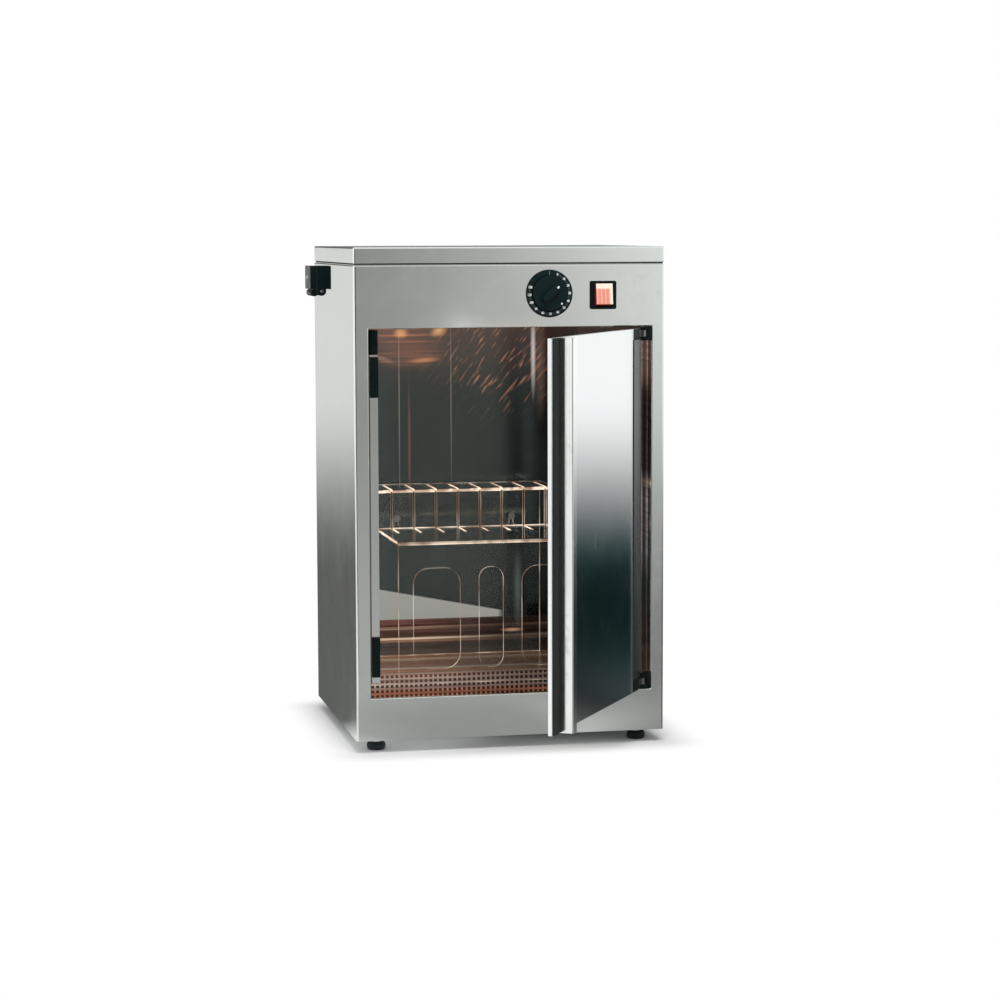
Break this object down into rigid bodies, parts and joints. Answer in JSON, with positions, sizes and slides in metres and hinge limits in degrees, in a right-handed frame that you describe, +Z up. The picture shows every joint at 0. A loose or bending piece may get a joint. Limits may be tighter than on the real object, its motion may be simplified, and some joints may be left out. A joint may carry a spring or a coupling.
{
  "type": "uv knife sterilizer",
  "caption": "Upright stainless steel cabinet with a hinged door, a clear stepped rack that stores blades under an ultraviolet lamp, a timer dial and a lit rocker switch, on four feet.",
  "frame": {"origin": "centre of the box round everything, with the door open as stored, at the floor", "axes": "+X to the right as seen from the front, +Y from the front face to the back, +Z up"},
  "size_m": [0.3538, 0.5338, 0.5255],
  "materials": {
    "stainless": "satin stainless sheet",
    "polished_stainless": "polished stainless sheet",
    "zinc_steel": "zinc-plated steel sheet",
    "black_plastic": "black moulded plastic",
    "magnet_strip": "plastic-bonded magnet",
    "rubber": "black rubber",
    "bright_steel": "bright steel",
    "aluminium": "satin anodised aluminium",
    "clear_plastic": "clear acrylic sheet",
    "lamp_glass": "quartz glass",
    "white_plastic": "white moulded plastic",
    "lit_red": "translucent red",
    "dark_paint": "dark paint"
  },
  "bodies": {
    "cabinet": {"ballast": "dark_paint", "base_panel": "zinc_steel", "chamber_ceiling": "polished_stainless", "chamber_floor": "polished_stainless", "chamber_liner": "polished_stainless", "door_stop_strip": "stainless", "door_switch": "black_plastic", "foot_nuts": "bright_steel", "hinge_block_bottom": "black_plastic", "hinge_block_top": "black_plastic", "hinge_pin_bottom": "bright_steel", "hinge_pin_top": "bright_steel", "inlet_base": "black_plastic", "inlet_cover": "black_plastic", "inlet_screws": "bright_steel", "lamp_caps": "aluminium", "lamp_holder_left": "white_plastic", "lamp_holder_right": "white_plastic", "lamp_reflector": "polished_stainless", "lamp_tube": "lamp_glass", "lid": "stainless", "lid_screws": "bright_steel", "magnet_bar_bottom": "magnet_strip", "magnet_bar_top": "magnet_strip", "outer_wrap": "stainless", "perforated_step": "polished_stainless", "rack_studs": "bright_steel", "rear_panel": "zinc_steel", "rear_screws": "bright_steel", "rocker_housing": "black_plastic", "starter": "aluminium", "starter_socket": "white_plastic", "terminal_block": "white_plastic", "timer_body": "black_plastic", "timer_scale_ring": "black_plastic"},
    "door": {"door_grip": "aluminium", "door_hinge_profile": "aluminium", "door_inner_panel": "polished_stainless", "door_panel": "stainless", "grip_insert": "rubber", "hinge_arm_bottom": "bright_steel", "hinge_arm_top": "bright_steel", "hinge_cap_bottom": "black_plastic", "hinge_cap_top": "black_plastic"},
    "switch_plunger": {"door_switch_plunger": "white_plastic"},
    "timer_knob": {"timer_knob": "black_plastic", "timer_shaft": "bright_steel"},
    "rocker": {"rocker_button": "lit_red"},
    "rack": {"blade_rack": "clear_plastic"},
    "foot_front_left": {"foot_pad_front_left": "rubber", "foot_stem_front_left": "bright_steel"},
    "foot_front_right": {"foot_pad_front_right": "rubber", "foot_stem_front_right": "bright_steel"},
    "foot_rear_left": {"foot_pad_rear_left": "rubber", "foot_stem_rear_left": "bright_steel"},
    "foot_rear_right": {"foot_pad_rear_right": "rubber", "foot_stem_rear_right": "bright_steel"}
  },
  "joints": [
    {"name": "door_hinge", "type": "hinge", "parent": "cabinet", "child": "door", "pos_m": [0.1533, -0.02268, 0.24935], "axis": [0, 0, 1], "range_deg": [-57.6, 52.4]},
    {"name": "plunger_slide", "type": "slide", "parent": "cabinet", "child": "switch_plunger", "axis": [0, 1, 0], "range_m": [-0.0019, 0.0021]},
    {"name": "timer_turn", "type": "hinge", "parent": "cabinet", "child": "timer_knob", "pos_m": [0.0527, -0.02508, 0.477], "axis": [0, 1, 0], "range_deg": [-22, 242]},
    {"name": "rocker_tilt", "type": "hinge", "parent": "cabinet", "child": "rocker", "pos_m": [0.1103, -0.01708, 0.475], "axis": [1, 0, 0], "range_deg": [0, 14]},
    {"name": "rack_lift", "type": "slide", "parent": "cabinet", "child": "rack", "axis": [0, 0, 1], "range_m": [0, 0.012]},
    {"name": "foot_turn_front_left", "type": "hinge", "parent": "cabinet", "child": "foot_front_left", "pos_m": [-0.1291, 0.00392, 0.013], "axis": [0, 0, 1], "range_deg": [-180, 180]},
    {"name": "foot_turn_front_right", "type": "hinge", "parent": "cabinet", "child": "foot_front_right", "pos_m": [0.1529, 0.00392, 0.013], "axis": [0, 0, 1], "range_deg": [-180, 180]},
    {"name": "foot_turn_rear_left", "type": "hinge", "parent": "cabinet", "child": "foot_rear_left", "pos_m": [-0.1291, 0.24092, 0.013], "axis": [0, 0, 1], "range_deg": [-180, 180]},
    {"name": "foot_turn_rear_right", "type": "hinge", "parent": "cabinet", "child": "foot_rear_right", "pos_m": [0.1529, 0.24092, 0.013], "axis": [0, 0, 1], "range_deg": [-180, 180]}
  ],
  "couplings": [
    {"joint": "plunger_slide", "follows": "door_hinge", "m_per_rad": -0.0019894}
  ]
}
